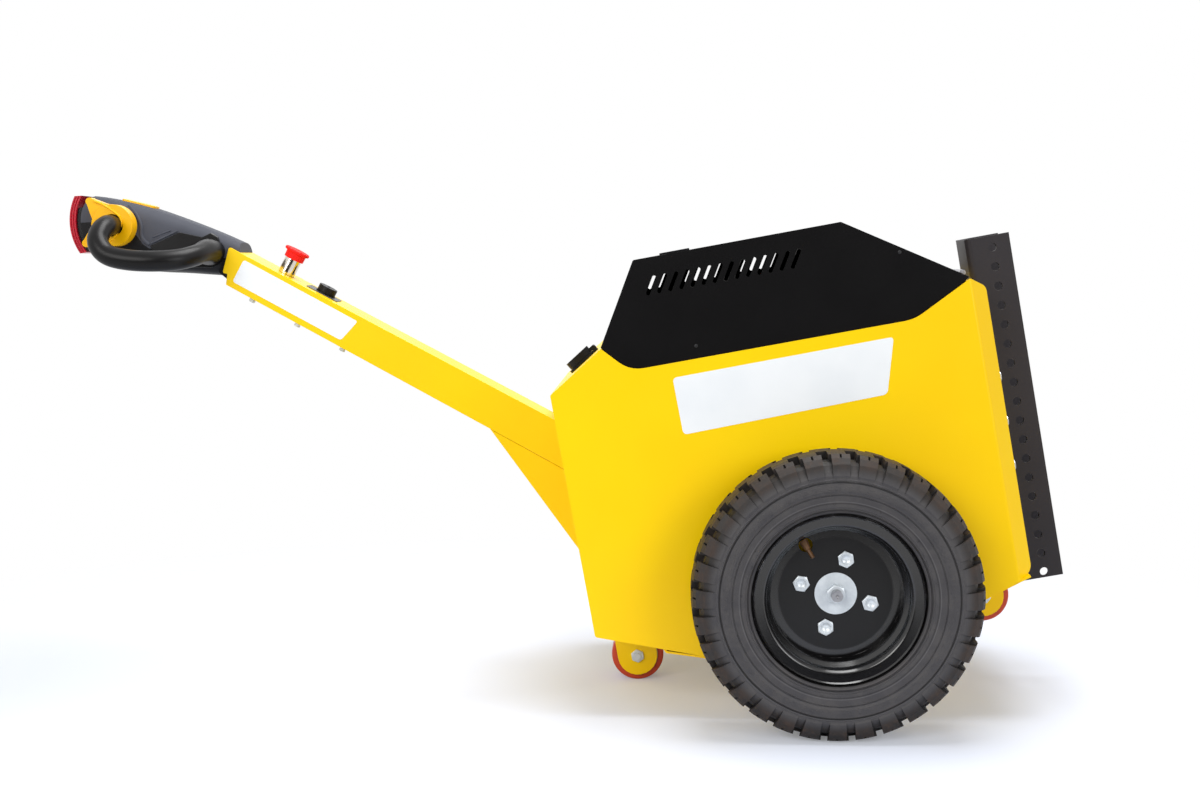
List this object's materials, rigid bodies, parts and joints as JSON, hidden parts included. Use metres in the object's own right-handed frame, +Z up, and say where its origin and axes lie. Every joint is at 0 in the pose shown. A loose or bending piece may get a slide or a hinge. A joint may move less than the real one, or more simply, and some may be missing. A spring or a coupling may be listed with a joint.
{
  "type": "walk-behind electric tug",
  "caption": "Walk-behind electric tug: sheet-metal drive body on two block-tread tyres, sloping steering arm with looped grips, and an upright coupling mast.",
  "frame": {"origin": "on the floor under the middle of the overall length and width, with the tyres and the rear roller standing on Z = 0", "axes": "+X from the steering arm towards the coupling mast, +Y to the tug's left when looking along +X, +Z up"},
  "size_m": [1.5434, 0.692, 0.7669],
  "materials": {
    "yellow_paint": "semi-gloss powder coat",
    "black_paint": "fine textured satin powder coat",
    "mast_paint": "satin powder coat",
    "rim_paint": "gloss enamel",
    "motor_paint": "satin",
    "zinc": "bright zinc plate",
    "steel": "turned",
    "chrome": "polished",
    "brass": "dull",
    "cast": "as cast",
    "aluminium": "anodised",
    "roller_core": "as cast",
    "polyurethane": "satin",
    "tyre_rubber": "matt",
    "black_plastic": "fine grain",
    "grey_plastic": "fine grain",
    "yellow_plastic": "moulded",
    "red_plastic": "moulded",
    "crimson_plastic": "moulded",
    "battery_case": "moulded"
  },
  "bodies": {
    "chassis": {"side_panel_left": "yellow_paint", "side_panel_right": "yellow_paint", "rear_panel": "yellow_paint", "front_panel": "yellow_paint", "floor_pan": "yellow_paint", "body_hinge_leaf": "steel", "hinge_pins": "steel", "arm_beam": "yellow_paint", "arm_gusset": "yellow_paint", "arm_bottom_cover": "yellow_paint", "arm_cover_screws": "zinc", "head_upper_shell": "grey_plastic", "head_lower_shell": "black_plastic", "grip_left": "black_plastic", "grip_right": "black_plastic", "stop_barrel": "chrome", "stop_contacts": "black_plastic", "key_housing": "black_plastic", "charge_socket": "black_plastic", "mast_channel": "mast_paint", "mast_bolts": "zinc", "castor_bracket_rear": "yellow_paint", "castor_bracket_front": "yellow_paint", "castor_bolts": "zinc", "transaxle_housing": "cast", "axle_bearings": "cast", "drive_motor": "motor_paint", "parking_brake": "motor_paint", "battery_tray": "yellow_paint", "batteries": "battery_case", "battery_clamp": "black_paint", "motor_controller": "aluminium"},
    "lid": {"lid_shell": "black_paint", "lid_grip": "black_plastic", "lid_hinge_leaf": "steel"},
    "wheel_left": {"tyre_left": "tyre_rubber", "rim_left": "rim_paint", "hub_left": "cast", "wheel_bolts_left": "zinc", "axle_shaft_left": "steel", "axle_nut_left": "zinc", "valve_left": "brass"},
    "wheel_right": {"tyre_right": "tyre_rubber", "rim_right": "rim_paint", "hub_right": "cast", "wheel_bolts_right": "zinc", "axle_shaft_right": "steel", "axle_nut_right": "zinc", "valve_right": "brass"},
    "roller_rear": {"roller_core_rear": "roller_core", "roller_tyre_rear": "polyurethane"},
    "roller_front": {"roller_core_front": "roller_core", "roller_tyre_front": "polyurethane"},
    "throttle": {"thumb_wheels": "yellow_plastic"},
    "belly": {"belly_button": "crimson_plastic"},
    "horn": {"horn_button": "yellow_plastic"},
    "stop_push": {"stop_plunger": "black_plastic"},
    "stop_twist": {"stop_mushroom": "red_plastic"},
    "key": {"key_cap": "black_plastic"},
    "charge_flap": {"charge_cap": "black_plastic"}
  },
  "joints": [
    {"name": "wheel_left_spin", "type": "hinge", "parent": "chassis", "child": "wheel_left", "pos_m": [0.38971, 0.294, 0.202], "axis": [0, 1, 0], "continuous": true},
    {"name": "wheel_right_spin", "type": "hinge", "parent": "chassis", "child": "wheel_right", "pos_m": [0.38971, -0.294, 0.202], "axis": [0, 1, 0], "continuous": true},
    {"name": "roller_rear_spin", "type": "hinge", "parent": "chassis", "child": "roller_rear", "pos_m": [0.10999, 0, 0.041], "axis": [0, 1, 0], "continuous": true},
    {"name": "roller_front_spin", "type": "hinge", "parent": "chassis", "child": "roller_front", "pos_m": [0.65212, 0, 0.1395], "axis": [0, 1, 0], "continuous": true},
    {"name": "lid_hinge", "type": "hinge", "parent": "chassis", "child": "lid", "pos_m": [0.58272, 0, 0.64685], "axis": [0, 1, 0], "range_deg": [0, 80]},
    {"name": "throttle_turn", "type": "hinge", "parent": "chassis", "child": "throttle", "pos_m": [-0.6965, 0, 0.71999], "axis": [0, 1, 0], "range_deg": [-35, 35], "stiffness_Nm_per_rad": 1},
    {"name": "belly_press", "type": "slide", "parent": "chassis", "child": "belly", "axis": [0.9839, 0, 0.1788], "range_m": [0, 0.008], "stiffness_N_per_m": 800},
    {"name": "horn_press", "type": "slide", "parent": "chassis", "child": "horn", "axis": [-0.2341, 0, -0.9722], "range_m": [0, 0.002], "stiffness_N_per_m": 1500},
    {"name": "stop_press", "type": "slide", "parent": "chassis", "child": "stop_push", "axis": [-0.4695, 0, -0.8829], "range_m": [0, 0.004]},
    {"name": "stop_turn", "type": "hinge", "parent": "stop_push", "child": "stop_twist", "pos_m": [-0.4322, 0, 0.67129], "axis": [0.4695, 0, 0.8829], "range_deg": [-45, 0], "stiffness_Nm_per_rad": 0.3},
    {"name": "key_turn", "type": "hinge", "parent": "chassis", "child": "key", "pos_m": [-0.38257, 0, 0.61659], "axis": [0.4695, 0, 0.8829], "range_deg": [-90, 0]},
    {"name": "charge_flap_hinge", "type": "hinge", "parent": "chassis", "child": "charge_flap", "pos_m": [0.04308, -0.09, 0.5344], "axis": [0, 1, 0], "range_deg": [0, 100], "stiffness_Nm_per_rad": 0.02}
  ]
}
